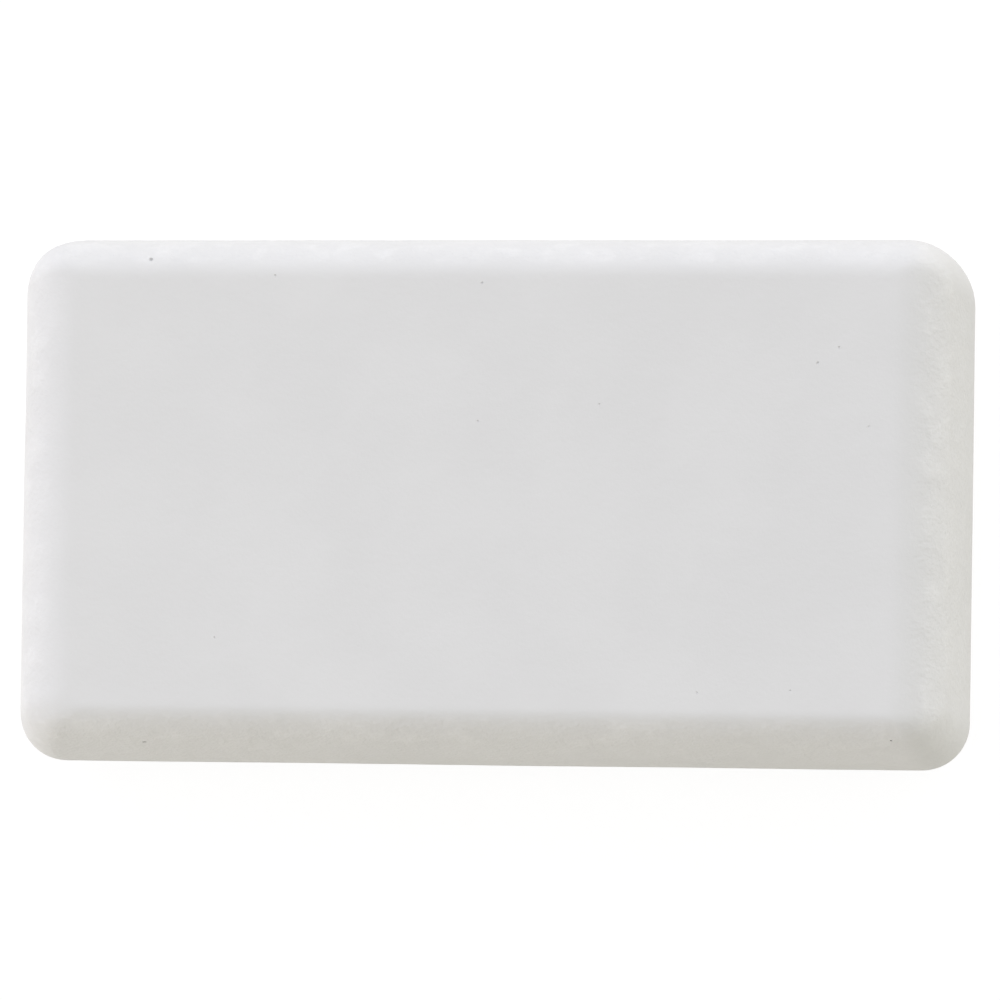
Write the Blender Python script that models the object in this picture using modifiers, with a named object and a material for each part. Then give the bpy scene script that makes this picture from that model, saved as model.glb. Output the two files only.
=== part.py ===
"""Gymnastics chalk block: one solid cake of moulded and pressed magnesium carbonate.

Metres, +Z up. The block lies on one of its two broad faces, centred on the Z axis, with its
length along X and its width along Y.
"""

import math

import bmesh
import bpy

# Sizes over all, measured across the waist, half way up the block
BLOCK_LENGTH = 0.090
BLOCK_WIDTH = 0.050
BLOCK_HEIGHT = 0.025

# Rounded rim around each broad face: how far it reaches in over the face at the two ends and
# along the two sides, and how far it reaches down the walls
END_ROUNDING = 0.0042
SIDE_ROUNDING = 0.0029
RIM_DROP = 0.0037

# How full the rim's curve is: 2 is an ellipse, and more turns gently at first and tightly half way
END_FULLNESS = 2.15
SIDE_FULLNESS = 2.5

# The walls bulge: they are upright at the waist and draw in by this much up to the broad face
WALL_CROWN = 0.0020

# Corner radius of the outline at the waist, and of the flat part of a broad face
CORNER_RADIUS = 0.0048
FACE_CORNER_RADIUS = 0.0016

# Facets around each corner, up each half wall and over each rim
CORNER_SEGMENTS = 10
WALL_SEGMENTS = 4
RIM_SEGMENTS = 9

# Matte white powder, pressed smooth
CHALK_COLOR = (0.80, 0.80, 0.79, 1.0)
CHALK_ROUGHNESS = 0.95

# Upper and lower half are joined where their points meet
MERGE_DISTANCE = 0.00001


def clear_scene():
    """Remove whatever the scene holds."""
    for item in list(bpy.data.objects):
        bpy.data.objects.remove(item, do_unlink=True)


def object_collection(name):
    """Return a new collection under the scene."""
    collection = bpy.data.collections.new(name)
    bpy.context.scene.collection.children.link(collection)
    return collection


def chalk_material():
    """Return the matte white of bare chalk."""
    material = bpy.data.materials.new("pressed_chalk")
    material.use_nodes = True
    shader = material.node_tree.nodes["Principled BSDF"]
    shader.inputs["Base Color"].default_value = CHALK_COLOR
    shader.inputs["Roughness"].default_value = CHALK_ROUGHNESS
    shader.inputs["Metallic"].default_value = 0.0
    return material


def rounded_rectangle(half_x, half_y, radius, height):
    """Return the points of a rounded rectangle at one height, counter-clockwise."""
    points = []
    for quarter, (side_x, side_y) in enumerate([(1, 1), (-1, 1), (-1, -1), (1, -1)]):
        for step in range(CORNER_SEGMENTS + 1):
            angle = (quarter + step / CORNER_SEGMENTS) * math.pi / 2.0
            x = side_x * (half_x - radius) + radius * math.cos(angle)
            y = side_y * (half_y - radius) + radius * math.sin(angle)
            points.append((x, y, height))
    return points


def drawn_in(rise, fullness):
    """Return how far in the rim lies, from 0 at its foot to 1 at the flat face, at a share of its drop."""
    return 1.0 - (1.0 - rise ** fullness) ** (1.0 / fullness)


def section_heights():
    """Return the heights above the waist at which the upper half has an outline."""
    wall_height = BLOCK_HEIGHT / 2.0 - RIM_DROP
    heights = [wall_height * step / WALL_SEGMENTS for step in range(WALL_SEGMENTS)]
    for step in range(RIM_SEGMENTS + 1):
        turn = step / RIM_SEGMENTS * math.pi / 2.0
        heights.append(wall_height + RIM_DROP * math.sin(turn) ** (2.0 / SIDE_FULLNESS))
    return heights


def section_rings():
    """Return the outlines of the upper half from the waist up to the border of the flat face."""
    half_height = BLOCK_HEIGHT / 2.0
    rings = []
    for height in section_heights():
        rise = min(1.0, max(0.0, 1.0 - (half_height - height) / RIM_DROP))
        bulge = WALL_CROWN * (height / half_height) ** 2
        ring_x = BLOCK_LENGTH / 2.0 - bulge - END_ROUNDING * drawn_in(rise, END_FULLNESS)
        ring_y = BLOCK_WIDTH / 2.0 - bulge - SIDE_ROUNDING * drawn_in(rise, SIDE_FULLNESS)
        radius = CORNER_RADIUS + (FACE_CORNER_RADIUS - CORNER_RADIUS) * drawn_in(rise, SIDE_FULLNESS)
        rings.append(rounded_rectangle(ring_x, ring_y, radius, height))
    return rings


def upper_half_mesh():
    """Return the upper half, lofted through its outlines, closed by the broad face, open at the waist."""
    half = bmesh.new()
    rings = [[half.verts.new(point) for point in ring] for ring in section_rings()]
    for lower, upper in zip(rings, rings[1:]):
        for index in range(len(lower)):
            following = (index + 1) % len(lower)
            half.faces.new((lower[index], lower[following], upper[following], upper[index]))
    half.faces.new(rings[-1])
    mesh = bpy.data.meshes.new("chalk_block")
    half.to_mesh(mesh)
    half.free()
    return mesh


def build_block(collection):
    """Build the block: the lofted half, mirrored at the waist and stood on its lower face."""
    block = bpy.data.objects.new("chalk_block", upper_half_mesh())
    collection.objects.link(block)
    block.location.z = BLOCK_HEIGHT / 2.0
    block.data.materials.append(chalk_material())
    block.data.shade_smooth()
    mirror = block.modifiers.new("lower half", "MIRROR")
    mirror.use_axis = (False, False, True)
    mirror.merge_threshold = MERGE_DISTANCE
    return block


def main():
    """Model the whole object."""
    clear_scene()
    build_block(object_collection("gymnastics_chalk_block"))


main()
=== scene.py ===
"""Looks of the gymnastics chalk block: one bare white cake of pressed magnesium carbonate.

The block is a single piece. A fine mesh stands for the plain solid of the frame: a softly rounded
cake whose outline isn't quite square, with a gently uneven skin, rubbed rims and pinholes that
trapped air has left. Lengths are in metres.
"""

import logging
import math
import random
from dataclasses import dataclass, field
from enum import Enum

import bmesh
import bpy
import numpy as np
from mathutils import Matrix, Quaternion, Vector, noise
from mathutils.bvhtree import BVHTree


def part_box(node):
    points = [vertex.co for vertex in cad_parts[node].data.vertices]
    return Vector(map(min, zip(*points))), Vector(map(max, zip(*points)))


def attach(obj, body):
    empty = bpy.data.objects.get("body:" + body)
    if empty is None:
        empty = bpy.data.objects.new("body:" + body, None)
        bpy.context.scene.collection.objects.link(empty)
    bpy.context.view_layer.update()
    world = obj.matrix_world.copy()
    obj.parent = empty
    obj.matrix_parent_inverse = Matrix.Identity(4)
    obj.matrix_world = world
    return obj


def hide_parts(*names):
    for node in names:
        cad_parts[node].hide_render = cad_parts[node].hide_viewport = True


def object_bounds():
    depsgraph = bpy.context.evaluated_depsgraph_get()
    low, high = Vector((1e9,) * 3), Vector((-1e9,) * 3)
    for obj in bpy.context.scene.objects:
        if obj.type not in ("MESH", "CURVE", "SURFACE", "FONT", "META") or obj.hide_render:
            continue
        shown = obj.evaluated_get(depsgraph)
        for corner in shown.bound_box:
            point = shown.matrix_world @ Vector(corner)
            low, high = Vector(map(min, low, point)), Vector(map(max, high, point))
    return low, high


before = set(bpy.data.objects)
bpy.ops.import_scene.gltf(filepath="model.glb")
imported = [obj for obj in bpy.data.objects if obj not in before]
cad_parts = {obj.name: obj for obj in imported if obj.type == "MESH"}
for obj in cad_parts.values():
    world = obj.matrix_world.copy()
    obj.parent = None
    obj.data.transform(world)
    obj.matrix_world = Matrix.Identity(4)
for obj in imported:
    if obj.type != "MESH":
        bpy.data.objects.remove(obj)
CAD_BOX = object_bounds()

LOG = logging.getLogger("chalk_block")
NODE = "chalk_block"
BODY = "root"
MM = 0.001


class Corner(Enum):
    """Upright corners of the block, counter-clockwise seen from above, by quarter of the plan."""

    RIGHT_BACK = 0
    LEFT_BACK = 1
    LEFT_FRONT = 2
    RIGHT_FRONT = 3


class BroadFace(Enum):
    """The two broad faces, by the side of the waist that they lie on."""

    UPPER = 1
    LOWER = -1


def linear(hex_colour: str) -> tuple[float, float, float, float]:
    """Turn an sRGB hex colour into linear light.

    Args:
        hex_colour: six hex digits after a # sign.

    Returns:
        Red, green, blue and an alpha of 1.
    """
    shares = [int(hex_colour[start:start + 2], 16) / 255.0 for start in (1, 3, 5)]
    light = [c / 12.92 if c <= 0.04045 else ((c + 0.055) / 1.055) ** 2.4 for c in shares]
    return (*light, 1.0)


def add_node(tree: bpy.types.NodeTree, kind: str, inputs: dict | None = None,
             **settings: object) -> bpy.types.Node:
    """Add one node to a tree, with its settings and links.

    Args:
        tree: the node tree to add to.
        kind: Blender's name of the node's type.
        inputs: socket name or number to the value it holds, or to the output socket that feeds it.
        settings: properties of the node itself.

    Returns:
        The new node.
    """
    node = tree.nodes.new(kind)
    for name, value in settings.items():
        setattr(node, name, value)
    for key, value in (inputs or {}).items():
        socket = node.inputs[key]
        if isinstance(value, bpy.types.NodeSocket):
            tree.links.new(value, socket)
        else:
            socket.default_value = value
    return node


@dataclass(frozen=True)
class PressedChalk:
    """Magnesium carbonate powder pressed into a cake.

    The powder scatters light so well that the surface is a dead matte white: no highlight, faint
    clouds where it was packed more or less tightly, a very fine grain, and paler loose powder where
    the rims have been rubbed. Flatness is 0 on the walls and 1 on the broad faces.
    """

    name: str = "magnesium_carbonate_pressed_matte"

    # Colours: tightly packed, less tightly packed, and loose powder
    packed_hex: str = "#E1E1E1"
    loose_hex: str = "#E3E3E3"
    powder_hex: str = "#EAEAEA"

    # Patterns: distance from blotch to blotch, finer layers, and the part of each that is used
    cloud_size: float = 11.0 * MM
    grain_size: float = 0.45 * MM
    rub_size: float = 2.5 * MM
    cloud_detail: float = 3.0
    grain_detail: float = 2.0
    rub_detail: float = 4.0
    cloud_spread: tuple = (0.35, 0.65)
    patch_spread: tuple = (0.45, 0.7)
    wall_flatness: tuple = (0.05, 0.35)
    face_flatness: tuple = (0.8, 0.995)

    # Fine relief, which is fainter on the broad faces
    grain_height: float = 0.07 * MM
    rub_height: float = 0.16 * MM
    face_relief_share: float = 0.25

    # Dead matte
    roughness: float = 0.95
    ior: float = 1.5
    specular_level: float = 0.25

    def build(self) -> bpy.types.Material:
        """Make the material.

        Returns:
            The finished material.
        """
        material = bpy.data.materials.new(self.name)
        material.use_nodes = True
        tree = material.node_tree
        tree.nodes.clear()
        place = add_node(tree, "ShaderNodeTexCoord").outputs["Object"]
        cloud = self.pattern(tree, place, self.cloud_size, self.cloud_detail)
        grain = self.pattern(tree, place, self.grain_size, self.grain_detail)
        rub = self.pattern(tree, place, self.rub_size, self.rub_detail)
        body = add_node(tree, "ShaderNodeMix", {
            "Factor": self.spread(tree, cloud, *self.cloud_spread),
            "A": linear(self.packed_hex),
            "B": linear(self.loose_hex),
        }, data_type="RGBA").outputs["Result"]
        flatness = self.flatness(tree)
        dusted = add_node(tree, "ShaderNodeMix", {
            "Factor": self.rim_dust(tree, flatness, rub, grain),
            "A": body,
            "B": linear(self.powder_hex),
        }, data_type="RGBA").outputs["Result"]
        share = add_node(tree, "ShaderNodeMapRange", {
            "Value": flatness,
            "From Min": self.face_flatness[0],
            "From Max": self.face_flatness[1],
            "To Min": 1.0,
            "To Max": self.face_relief_share,
        }).outputs["Result"]
        skin = self.relief(tree, grain, self.grain_height, share, None)
        skin = self.relief(tree, rub, self.rub_height, share, skin)
        shader = add_node(tree, "ShaderNodeBsdfPrincipled", {
            "Base Color": dusted,
            "Roughness": self.roughness,
            "IOR": self.ior,
            "Specular IOR Level": self.specular_level,
            "Normal": skin,
        })
        add_node(tree, "ShaderNodeOutputMaterial", {"Surface": shader.outputs["BSDF"]})
        return material

    def pattern(self, tree: bpy.types.NodeTree, place: bpy.types.NodeSocket, size: float,
                detail: float) -> bpy.types.NodeSocket:
        """Add a soft random pattern whose blotches are about one size across.

        Args:
            tree: the material's tree.
            place: where on the block, in metres.
            size: distance from blotch to blotch, in metres.
            detail: how many finer layers it has.

        Returns:
            The pattern, from 0 to 1.
        """
        made = add_node(tree, "ShaderNodeTexNoise", {
            "Vector": place,
            "Scale": 1.0 / size,
            "Detail": detail,
        })
        return made.outputs["Fac"]

    def spread(self, tree: bpy.types.NodeTree, value: bpy.types.NodeSocket, low: float,
               high: float) -> bpy.types.NodeSocket:
        """Stretch the middle of a pattern over the whole range from 0 to 1.

        Args:
            tree: the material's tree.
            value: the pattern.
            low: what becomes 0.
            high: what becomes 1.

        Returns:
            The stretched pattern.
        """
        made = add_node(tree, "ShaderNodeMapRange", {
            "Value": value,
            "From Min": low,
            "From Max": high,
        }, interpolation_type="SMOOTHSTEP")
        return made.outputs["Result"]

    def flatness(self, tree: bpy.types.NodeTree) -> bpy.types.NodeSocket:
        """Say how level the surface lies.

        Args:
            tree: the material's tree.

        Returns:
            0 on the walls and 1 on the broad faces.
        """
        normal = add_node(tree, "ShaderNodeNewGeometry").outputs["True Normal"]
        upright = add_node(tree, "ShaderNodeSeparateXYZ", {"Vector": normal}).outputs["Z"]
        return add_node(tree, "ShaderNodeMath", {0: upright}, operation="ABSOLUTE").outputs[0]

    def rim_dust(self, tree: bpy.types.NodeTree, flatness: bpy.types.NodeSocket,
                 rub: bpy.types.NodeSocket, grain: bpy.types.NodeSocket) -> bpy.types.NodeSocket:
        """Say where loose powder lies: in patches, on the rounded rims only.

        Args:
            tree: the material's tree.
            flatness: 0 on the walls and 1 on the broad faces.
            rub: the pattern of rubbed patches.
            grain: the fine grain that breaks them up.

        Returns:
            How much powder lies there, from 0 to 1.
        """
        off_face = self.spread(tree, flatness, *reversed(self.face_flatness))
        off_wall = self.spread(tree, flatness, *self.wall_flatness)
        dust = self.spread(tree, rub, *self.patch_spread)
        for share in (grain, off_face, off_wall):
            dust = add_node(tree, "ShaderNodeMath", {0: dust, 1: share}, operation="MULTIPLY").outputs[0]
        return dust

    def relief(self, tree: bpy.types.NodeTree, height: bpy.types.NodeSocket, distance: float,
               share: bpy.types.NodeSocket, under: bpy.types.NodeSocket | None) -> bpy.types.NodeSocket:
        """Add one layer of fine relief to the surface.

        Args:
            tree: the material's tree.
            height: the pattern that sets the height.
            distance: the height of the relief in metres.
            share: how much of that height it has there.
            under: the relief below it, if there is one.

        Returns:
            The new surface direction.
        """
        inputs = {"Height": height, "Distance": distance, "Strength": share}
        if under is not None:
            inputs["Normal"] = under
        return add_node(tree, "ShaderNodeBump", inputs).outputs["Normal"]


@dataclass(frozen=True)
class Pinhole:
    """A pit that an air bubble has left: its place seen from above, its width and its depth."""

    x: float
    y: float
    width: float
    depth: float


@dataclass(frozen=True)
class CornerForm:
    """An upright corner: its radius at the waist, its least radius, and how it tightens in between.

    It tightens from start to end, on a way in that is 0 at the waist and 1 at the border of the flat
    face. A haste above 1 tightens it faster at first.
    """

    waist_radius: float
    least_radius: float
    start: float
    end: float
    haste: float = 1.2

    def radius_at(self, inward: float) -> float:
        """Find the corner's radius.

        Args:
            inward: how far in it lies, from 0 at the waist to 1 at the border of the flat face.

        Returns:
            The radius there.
        """
        left_over = min(1.0, max(0.0, (self.end - inward) / (self.end - self.start)))
        roundness = left_over ** self.haste
        return self.least_radius + (self.waist_radius - self.least_radius) * roundness


@dataclass
class ChalkBlock:
    """The block: its sizes over all come from the frame, and its roundings are close to the solid's."""

    # Rims, walls and corners
    end_rounding: float = 4.2 * MM
    side_rounding: float = 2.58 * MM
    rim_drop: float = 3.7 * MM
    end_fullness: float = 2.15
    side_fullness: float = 2.5
    wall_crown: float = 2.0 * MM
    corners: dict[Corner, CornerForm] = field(default_factory=lambda: {
        Corner.RIGHT_BACK: CornerForm(5.9 * MM, 0.8 * MM, 0.0, 0.75),
        Corner.LEFT_BACK: CornerForm(6.2 * MM, 0.8 * MM, 0.0, 0.75),
        Corner.LEFT_FRONT: CornerForm(3.6 * MM, 1.1 * MM, 0.2, 1.2),
        Corner.RIGHT_FRONT: CornerForm(4.5 * MM, 0.8 * MM, 0.15, 0.82),
    })
    end_wear: float = 0.03 * MM
    left_front_inset: float = 0.74 * MM
    face_shift: tuple = (0.0, -0.34 * MM)

    # Fineness of the mesh
    corner_steps: int = 12
    side_steps: int = 110
    end_steps: int = 56
    rim_steps: int = 24
    wall_steps: int = 8

    # Uneven skin: long swells, rims that wander and chips along them
    swell_size: float = 16.0 * MM
    swell_depth: float = 0.05 * MM
    wander_size: float = 5.0 * MM
    wander_depth: float = 0.10 * MM
    chip_size: float = 1.6 * MM
    chip_depth: float = 0.10 * MM
    chip_fade: float = 0.8
    chip_step: float = 2.0
    chip_layers: int = 3
    chip_floor: float = 0.25
    wander_start: tuple = (7.0, 0.0, 0.0)
    level_flatness: float = 0.999

    # Pinholes that the photograph shows, by place seen from above, width and depth
    pinholes: tuple[Pinhole, ...] = (
        Pinhole(-31.8 * MM, 22.0 * MM, 0.42 * MM, 0.36 * MM),
        Pinhole(-19.9 * MM, 20.4 * MM, 0.26 * MM, 0.10 * MM),
        Pinhole(-0.2 * MM, 19.7 * MM, 0.28 * MM, 0.13 * MM),
        Pinhole(-0.4 * MM, 6.6 * MM, 0.24 * MM, 0.09 * MM),
        Pinhole(11.1 * MM, 8.2 * MM, 0.24 * MM, 0.09 * MM),
        Pinhole(31.7 * MM, 12.1 * MM, 0.34 * MM, 0.12 * MM),
        Pinhole(33.7 * MM, 13.6 * MM, 0.28 * MM, 0.10 * MM),
        Pinhole(-25.1 * MM, -13.9 * MM, 0.24 * MM, 0.08 * MM),
        Pinhole(36.6 * MM, 6.1 * MM, 0.30 * MM, 0.07 * MM),
        Pinhole(-32.2 * MM, -23.4 * MM, 0.50 * MM, 0.45 * MM),
        Pinhole(38.9 * MM, -23.3 * MM, 0.30 * MM, 0.25 * MM),
        Pinhole(20.7 * MM, -19.0 * MM, 0.24 * MM, 0.08 * MM),
        Pinhole(29.5 * MM, -18.8 * MM, 0.24 * MM, 0.08 * MM),
    )

    # Pinholes on the sides that it doesn't show
    hidden_pinholes: int = 42
    photographed_from: tuple = (0.13, -0.105, 0.986)
    hidden_pinhole_widths: tuple = (0.2 * MM, 0.45 * MM)
    hidden_pinhole_depths: tuple = (0.6, 1.0)
    pinhole_spacing: float = 2.0 * MM
    bubble_stretches: tuple = (0.85, 1.18)
    bubble_rounds: int = 2
    seed: int = 11

    # Clean edges of the pinholes
    weld: float = 0.004 * MM
    sharp_angle: float = math.radians(38.0)

    def __post_init__(self) -> None:
        """Take the sizes over all from the frame."""
        self.low, self.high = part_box(NODE)
        self.waist = (self.low.z + self.high.z) / 2.0
        self.random = random.Random(self.seed)

    def build(self) -> bpy.types.Object:
        """Build and dress the block.

        Returns:
            The finished block, riding on the frame.
        """
        block = bpy.data.objects.new("pressed_block", self.skin())
        bpy.context.scene.collection.objects.link(block)
        self.pit(block)
        block.data.shade_smooth()
        block.data.set_sharp_from_angle(angle=self.sharp_angle)
        block.data.materials.append(PressedChalk().build())
        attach(block, BODY)
        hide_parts(NODE)
        points, faces = len(block.data.vertices), len(block.data.polygons)
        LOG.info("%s: %d points, %d faces", block.name, points, faces)
        return block

    def outline(self, end_inset: float, side_inset: float, inward: float) -> np.ndarray:
        """Trace the block's outline at one height, counter-clockwise from the right end.

        Args:
            end_inset: how far it lies inside the waist at the ends.
            side_inset: how far it lies inside the waist along the sides.
            inward: 0 at the rim's foot and 1 at the border of the flat face, which shifts it.

        Returns:
            The points in plan, one row each.
        """
        right = self.high.x - self.end_wear - end_inset
        left = self.low.x + self.end_wear + end_inset
        back = self.high.y - side_inset
        front = self.low.y + side_inset
        tips = {
            Corner.RIGHT_BACK: (right, back),
            Corner.LEFT_BACK: (left, back),
            Corner.LEFT_FRONT: (left, front + self.left_front_inset),
            Corner.RIGHT_FRONT: (right, front),
        }
        arcs = []
        for corner, (x, y) in tips.items():
            radius = self.corners[corner].radius_at(side_inset / (self.wall_crown + self.side_rounding))
            centre = np.array([x - math.copysign(radius, x), y - math.copysign(radius, y)])
            angles = (corner.value + np.linspace(0.0, 1.0, self.corner_steps + 1)) * math.pi / 2.0
            arcs.append(centre + radius * np.stack([np.cos(angles), np.sin(angles)], axis=1))
        points = []
        for corner, arc in zip(tips, arcs):
            following = arcs[(corner.value + 1) % len(arcs)]
            steps = self.side_steps if corner.value % 2 == 0 else self.end_steps
            shares = np.linspace(0.0, 1.0, steps + 1)[1:-1, None]
            points += [arc, arc[-1] + (following[0] - arc[-1]) * shares]
        return np.concatenate(points) + np.array(self.face_shift) * inward

    def rings(self) -> list[np.ndarray]:
        """Stack the outlines of the upper half, from the waist to the border of the flat face.

        Returns:
            One array of points in space for each outline.
        """
        half_height = self.high.z - self.waist
        wall_height = half_height - self.rim_drop
        heights = [wall_height * step / self.wall_steps for step in range(self.wall_steps)]
        for step in range(self.rim_steps + 1):
            turn = step / self.rim_steps * math.pi / 2.0
            heights.append(wall_height + self.rim_drop * math.sin(turn) ** (2.0 / self.side_fullness))
        stack = []
        for height in heights:
            rise = min(1.0, max(0.0, 1.0 - (half_height - height) / self.rim_drop))
            bulge = self.wall_crown * (height / half_height) ** 2
            inward = self.drawn_in(rise, self.side_fullness)
            end_inset = bulge + self.end_rounding * self.drawn_in(rise, self.end_fullness)
            plan = self.outline(end_inset, bulge + self.side_rounding * inward, inward)
            stack.append(np.column_stack([plan, np.full(len(plan), height)]))
        return stack

    def drawn_in(self, rise: float, fullness: float) -> float:
        """Say how far in the rim lies at a share of its height.

        Args:
            rise: 0 at the rim's foot on the wall and 1 at the flat face.
            fullness: 2 for an ellipse, and more for a curve that is tightest half way.

        Returns:
            0 at the wall and 1 at the border of the flat face.
        """
        return 1.0 - (1.0 - rise ** fullness) ** (1.0 / fullness)

    def flat_face(self, border: np.ndarray) -> tuple[np.ndarray, np.ndarray]:
        """Fill the border of a flat face with a grid of points.

        Args:
            border: the points of the border, counter-clockwise.

        Returns:
            The grid of points, and for each grid place the number of its border point, or -1 inside.
        """
        half_corner = self.corner_steps // 2
        across, along = self.side_steps + self.corner_steps, self.end_steps + self.corner_steps
        order = np.roll(np.arange(len(border)), -half_corner)
        back = order[:across + 1][::-1]
        left = order[across:across + along + 1][::-1]
        front = order[across + along:2 * across + along + 1]
        right = np.append(order[2 * across + along:], order[0])
        u = np.linspace(0.0, 1.0, across + 1)[None, :, None]
        v = np.linspace(0.0, 1.0, along + 1)[:, None, None]
        low_edge, high_edge = border[front][None], border[back][None]
        left_edge, right_edge = border[left][:, None], border[right][:, None]
        corners = ((1 - u) * (1 - v) * border[front[0]] + u * (1 - v) * border[front[-1]]
                   + (1 - u) * v * border[back[0]] + u * v * border[back[-1]])
        grid = (1 - v) * low_edge + v * high_edge + (1 - u) * left_edge + u * right_edge - corners
        owner = np.full((along + 1, across + 1), -1)
        owner[0], owner[-1], owner[:, 0], owner[:, -1] = front, back, left, right
        return grid, owner

    def skin(self) -> bpy.types.Mesh:
        """Make the closed surface: walls and rims from the rings, and a grid on each broad face.

        Returns:
            The mesh, roughened.
        """
        upper = self.rings()
        shape = bmesh.new()
        lift = Vector((0.0, 0.0, self.waist))
        waist_ring = [shape.verts.new(Vector(point) + lift) for point in upper[0]]
        for face in BroadFace:
            flip = np.array([1.0, 1.0, face.value])
            rows = [waist_ring]
            for ring in upper[1:]:
                rows.append([shape.verts.new(Vector(point) + lift) for point in ring * flip])
            for lower_row, upper_row in zip(rows, rows[1:]):
                self.close(shape, lower_row, upper_row, face)
            self.cover(shape, upper[-1] * flip, rows[-1], face)
        self.roughen(shape)
        mesh = bpy.data.meshes.new("pressed_block")
        shape.to_mesh(mesh)
        shape.free()
        return mesh

    def close(self, shape: bmesh.types.BMesh, row: list, inner: list, face: BroadFace) -> None:
        """Join two neighbouring outlines with faces that look outwards.

        Args:
            shape: the mesh being built.
            row: the outline nearer the waist.
            inner: the outline nearer the broad face.
            face: the broad face on this side of the waist.
        """
        for index in range(len(row)):
            after = (index + 1) % len(row)
            corners = [row[index], row[after], inner[after], inner[index]]
            shape.faces.new(corners[::face.value])

    def cover(self, shape: bmesh.types.BMesh, border: np.ndarray, row: list, face: BroadFace) -> None:
        """Cover one broad face with a grid that shares its border's points.

        Args:
            shape: the mesh being built.
            border: the border's points.
            row: the border's vertices.
            face: which broad face it is.
        """
        grid, owner = self.flat_face(border)
        lift = Vector((0.0, 0.0, self.waist))
        verts = []
        for points, owners in zip(grid, owner):
            verts.append([row[k] if k >= 0 else shape.verts.new(Vector(point) + lift)
                          for point, k in zip(points, owners)])
        for near, far in zip(verts, verts[1:]):
            for index in range(len(near) - 1):
                corners = [near[index], near[index + 1], far[index + 1], far[index]]
                shape.faces.new(corners[::face.value])

    def roughen(self, shape: bmesh.types.BMesh) -> None:
        """Press the even skin in a little: long swells, rims that wander, and small chips on them.

        Args:
            shape: the mesh to roughen. The face that the block lies on stays flat.
        """
        shape.normal_update()
        moves = []
        for vert in shape.verts:
            normal = vert.normal.copy()
            flatness = abs(normal.z)
            rim = 4.0 * flatness * (1.0 - flatness) if flatness < self.level_flatness else 0.0
            swell = 0.5 + 0.5 * noise.noise(vert.co / self.swell_size)
            wander = 0.5 + 0.5 * noise.noise(vert.co / self.wander_size + Vector(self.wander_start))
            chip = noise.fractal(vert.co / self.chip_size, self.chip_fade, self.chip_step, self.chip_layers)
            chip = max(0.0, chip - self.chip_floor)
            depth = self.swell_depth * swell * (0.0 if normal.z < -self.level_flatness else 1.0)
            depth += rim * (self.wander_depth * wander + self.chip_depth * chip)
            moves.append((vert, normal * -depth))
        for vert, move in moves:
            vert.co += move

    def pit(self, block: bpy.types.Object) -> None:
        """Cut the pinholes: the ones seen in the photograph, and others on the hidden sides.

        Args:
            block: the block, whose mesh is replaced by the pitted one.
        """
        surface = BVHTree.FromObject(block, bpy.context.evaluated_depsgraph_get())
        seats = []
        for hole in self.pinholes:
            above = Vector((hole.x, hole.y, 2.0 * self.high.z))
            place, normal, _, _ = surface.ray_cast(above, Vector((0.0, 0.0, -1.0)))
            seats.append((place, normal, hole.width, hole.depth))
        seats += self.hidden_seats(block.data, [seat[0] for seat in seats])
        cutters = bmesh.new()
        for place, normal, width, depth in seats:
            self.bubble(cutters, place, normal, width, depth)
        mesh = bpy.data.meshes.new("air_bubbles")
        cutters.to_mesh(mesh)
        cutters.free()
        bubbles = bpy.data.objects.new("air_bubbles", mesh)
        bpy.context.scene.collection.objects.link(bubbles)
        cut = block.modifiers.new("pinholes", "BOOLEAN")
        cut.operation = "DIFFERENCE"
        cut.solver = "EXACT"
        cut.object = bubbles
        evaluated = block.evaluated_get(bpy.context.evaluated_depsgraph_get())
        pitted = bpy.data.meshes.new_from_object(evaluated)
        block.modifiers.clear()
        block.data = pitted
        bpy.data.objects.remove(bubbles)
        self.mend(pitted)
        LOG.info("pinholes: %d", len(seats))

    def mend(self, mesh: bpy.types.Mesh) -> None:
        """Weld the points that the cut has left almost together, and split its many-sided faces.

        Args:
            mesh: the pitted mesh.
        """
        shape = bmesh.new()
        shape.from_mesh(mesh)
        bmesh.ops.remove_doubles(shape, verts=shape.verts, dist=self.weld)
        bmesh.ops.dissolve_degenerate(shape, edges=shape.edges, dist=self.weld)
        many_sided = [face for face in shape.faces if len(face.verts) > 4]
        bmesh.ops.triangulate(shape, faces=many_sided)
        bmesh.ops.dissolve_degenerate(shape, edges=shape.edges, dist=self.weld)
        shape.to_mesh(mesh)
        shape.free()

    def hidden_seats(self, mesh: bpy.types.Mesh, taken: list) -> list:
        """Choose places for pinholes on the walls and the underside, where the camera can't see.

        Args:
            mesh: the block's mesh.
            taken: places that hold a pinhole already.

        Returns:
            Place, outward direction, width and depth of each pinhole.
        """
        seen_from = Vector(self.photographed_from)
        faces = [face for face in mesh.polygons if face.normal.dot(seen_from) < 0.0]
        areas = [face.area for face in faces]
        places = list(taken)
        seats = []
        while len(seats) < self.hidden_pinholes:
            face = self.random.choices(faces, weights=areas)[0]
            width = self.random.uniform(*self.hidden_pinhole_widths)
            if min((face.center - other).length for other in places) < self.pinhole_spacing:
                continue
            places.append(face.center.copy())
            depth = width * self.random.uniform(*self.hidden_pinhole_depths)
            seats.append((face.center.copy(), face.normal.copy(), width, depth))
        return seats

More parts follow.
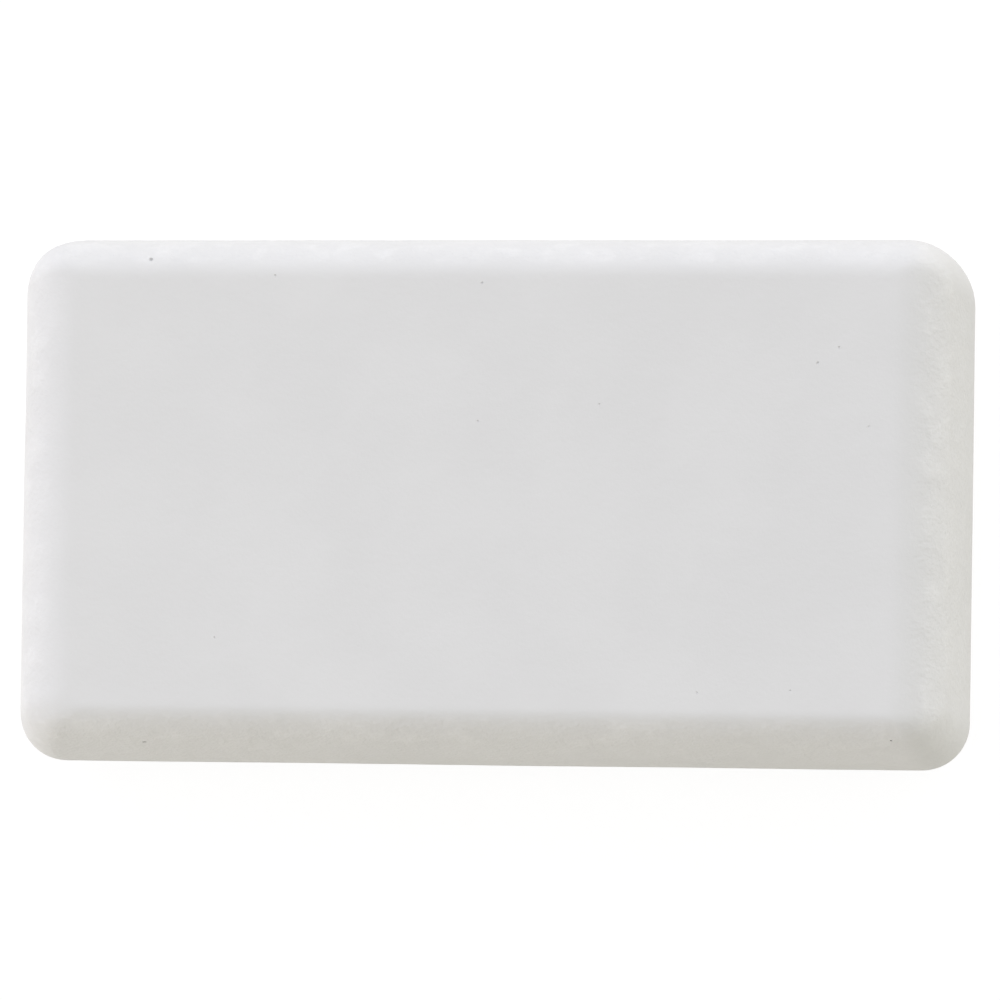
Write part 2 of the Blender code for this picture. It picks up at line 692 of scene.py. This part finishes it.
    def bubble(self, cutters: bmesh.types.BMesh, place: Vector, normal: Vector, width: float,
               depth: float) -> None:
        """Add one bubble, a little out of round, to the cutters.

        Args:
            cutters: the mesh of all bubbles.
            place: where its middle lies on the surface.
            normal: the outward direction there.
            width: how wide the pinhole is.
            depth: how deep it goes.
        """
        stretch = self.random.uniform(*self.bubble_stretches)
        size = Matrix.Diagonal((width / 2.0 * stretch, width / 2.0 / stretch, depth, 1.0))
        spin = Matrix.Rotation(self.random.uniform(0.0, math.tau), 4, "Z")
        turn = normal.to_track_quat("Z", "Y").to_matrix().to_4x4()
        bmesh.ops.create_icosphere(cutters, subdivisions=self.bubble_rounds, radius=1.0,
                                   matrix=Matrix.Translation(place) @ turn @ spin @ size)


@dataclass(frozen=True)
class SoftLamp:
    """A square soft lamp: the way to it from the block, its distance and side, and its level.

    A level of 1 lights a white card that faces the lamp to full white.
    """

    name: str
    toward: tuple
    distance: float
    side: float
    level: float
    hex_colour: str

    def build(self, target: Vector) -> bpy.types.Object:
        """Hang the lamp so that it faces the block.

        Args:
            target: the point it shines at.

        Returns:
            The lamp.
        """
        data = bpy.data.lights.new(self.name, "AREA")
        data.shape = "SQUARE"
        data.size = self.side
        data.energy = self.level * math.pi ** 2 * self.distance ** 2
        data.color = linear(self.hex_colour)[:3]
        lamp = bpy.data.objects.new(self.name, data)
        way = Vector(self.toward).normalized()
        lamp.location = target + way * self.distance
        lamp.rotation_mode = "QUATERNION"
        lamp.rotation_quaternion = way.to_track_quat("Z", "Y")
        bpy.context.scene.collection.objects.link(lamp)
        LOG.info("lamp %s", self.name)
        return lamp


@dataclass(frozen=True)
class SideGlow:
    """Soft light from one side of the room: full in one direction, and evenly less to none opposite."""

    toward: tuple
    level: float
    hex_colour: str

    def build(self, tree: bpy.types.NodeTree, way: bpy.types.NodeSocket) -> bpy.types.NodeSocket:
        """Add the glow to the room.

        Args:
            tree: the room's tree.
            way: the direction looked in.

        Returns:
            The light that comes from there.
        """
        along = add_node(tree, "ShaderNodeVectorMath", {0: way, 1: self.toward}, operation="DOT_PRODUCT")
        strength = add_node(tree, "ShaderNodeMapRange", {
            "Value": along.outputs["Value"],
            "From Min": -1.0,
            "From Max": 1.0,
            "To Min": 0.0,
            "To Max": self.level,
        }).outputs["Result"]
        colour = linear(self.hex_colour)
        return add_node(tree, "ShaderNodeBackground", {"Color": colour, "Strength": strength}).outputs[0]


@dataclass
class Studio:
    """Pale floor, soft light and the camera that looks down on the block."""

    # Floor: its colour where it lights the block, and its shadow and glow where it shows
    floor_side: float = 4.0
    floor_gap: float = 0.05 * MM
    floor_hex: str = "#F4F3ED"
    floor_shadow_share: float = 0.16
    floor_glow: float = 0.89

    # Camera, fitted to the block's outline in the photograph
    camera_place: tuple = (0.24801, -0.1999, 1.8972)
    camera_aim: tuple = (0.00181, -0.00086, 0.025)
    camera_roll: float = math.radians(0.86)
    lens: float = 727.2
    sensor: float = 36.0

    # Light, fitted to the shades in the photograph
    lamps: tuple[SoftLamp, ...] = (
        SoftLamp("left_lamp", (-0.915, -0.29, 0.30), 1.2, 0.8, 0.458, "#FFF8F1"),
        SoftLamp("back_lamp", (0.05, 0.99, 0.10), 1.2, 0.8, 0.195, "#FFF0DF"),
    )
    glows: tuple[SideGlow, ...] = (
        SideGlow((1.0, 0.0, 0.0), 0.56, "#FEF4CD"),
        SideGlow((0.0, 1.0, 0.0), 1.262, "#E7EDFF"),
    )

    def build(self) -> None:
        """Set up the room round the block."""
        settings = bpy.context.scene.view_settings
        settings.view_transform = "Standard"
        self.build_floor()
        self.build_room()
        target = Vector(self.camera_aim)
        for lamp in self.lamps:
            lamp.build(target)
        self.build_camera()

    def seen_rays(self, tree: bpy.types.NodeTree) -> bpy.types.NodeSocket:
        """Say whether a ray shows the background: from the camera, off gloss or through glass.

        Args:
            tree: the tree to add the test to.

        Returns:
            1 where the ray shows the background, and 0 where it only lights.
        """
        path = add_node(tree, "ShaderNodeLightPath").outputs
        seen = path["Is Camera Ray"]
        for kind in ("Is Glossy Ray", "Is Transmission Ray"):
            seen = add_node(tree, "ShaderNodeMath", {0: seen, 1: path[kind]}, operation="MAXIMUM").outputs[0]
        return seen

    def build_floor(self) -> None:
        """Lay the floor: pale card that shows nearly white and keeps a faint shadow."""
        mesh = bpy.data.meshes.new("studio_floor")
        sheet = bmesh.new()
        bmesh.ops.create_grid(sheet, x_segments=1, y_segments=1, size=self.floor_side / 2.0)
        sheet.to_mesh(mesh)
        sheet.free()
        floor = bpy.data.objects.new("studio_floor", mesh)
        floor.location.z = CAD_BOX[0].z - self.floor_gap
        bpy.context.scene.collection.objects.link(floor)
        material = bpy.data.materials.new("pale_card_matte")
        material.use_nodes = True
        tree = material.node_tree
        tree.nodes.clear()
        card = add_node(tree, "ShaderNodeBsdfDiffuse", {"Color": linear(self.floor_hex)}).outputs[0]
        grey = (self.floor_shadow_share,) * 3 + (1.0,)
        shade = add_node(tree, "ShaderNodeBsdfDiffuse", {"Color": grey}).outputs[0]
        glow = add_node(tree, "ShaderNodeEmission", {"Strength": self.floor_glow}).outputs[0]
        shown = add_node(tree, "ShaderNodeAddShader", {0: shade, 1: glow}).outputs[0]
        rays = self.seen_rays(tree)
        surface = add_node(tree, "ShaderNodeMixShader", {0: rays, 1: card, 2: shown}).outputs[0]
        add_node(tree, "ShaderNodeOutputMaterial", {"Surface": surface})
        mesh.materials.append(material)
        LOG.info("studio_floor")

    def build_room(self) -> None:
        """Light the room softly with its glows, and keep it white where it shows."""
        world = bpy.data.worlds.new("studio_room")
        bpy.context.scene.world = world
        world.use_nodes = True
        tree = world.node_tree
        tree.nodes.clear()
        way = add_node(tree, "ShaderNodeTexCoord").outputs["Generated"]
        lit, *others = [glow.build(tree, way) for glow in self.glows]
        for other in others:
            lit = add_node(tree, "ShaderNodeAddShader", {0: lit, 1: other}).outputs[0]
        white = add_node(tree, "ShaderNodeBackground", {"Color": (1.0,) * 4, "Strength": 1.0}).outputs[0]
        rays = self.seen_rays(tree)
        surface = add_node(tree, "ShaderNodeMixShader", {0: rays, 1: lit, 2: white}).outputs[0]
        add_node(tree, "ShaderNodeOutputWorld", {"Surface": surface})
        LOG.info("studio_room")

    def build_camera(self) -> None:
        """Put the camera where the photograph was taken from."""
        data = bpy.data.cameras.new("camera")
        data.lens = self.lens
        data.sensor_width = self.sensor
        camera = bpy.data.objects.new("camera", data)
        camera.location = self.camera_place
        camera.rotation_mode = "QUATERNION"
        backward = (Vector(self.camera_place) - Vector(self.camera_aim)).normalized()
        page_up = Vector((0.0, 1.0, 0.0))
        rightward = page_up.cross(backward).normalized()
        level = Matrix((rightward, backward.cross(rightward), backward)).transposed().to_quaternion()
        camera.rotation_quaternion = level @ Quaternion((0.0, 0.0, 1.0), self.camera_roll)
        bpy.context.scene.collection.objects.link(camera)
        bpy.context.scene.camera = camera
        LOG.info("camera")


def main() -> None:
    """Build the block and the room round it."""
    logging.basicConfig(level=logging.INFO, format="%(name)s: %(message)s")
    ChalkBlock().build()
    Studio().build()


if __name__ == "__main__":
    main()
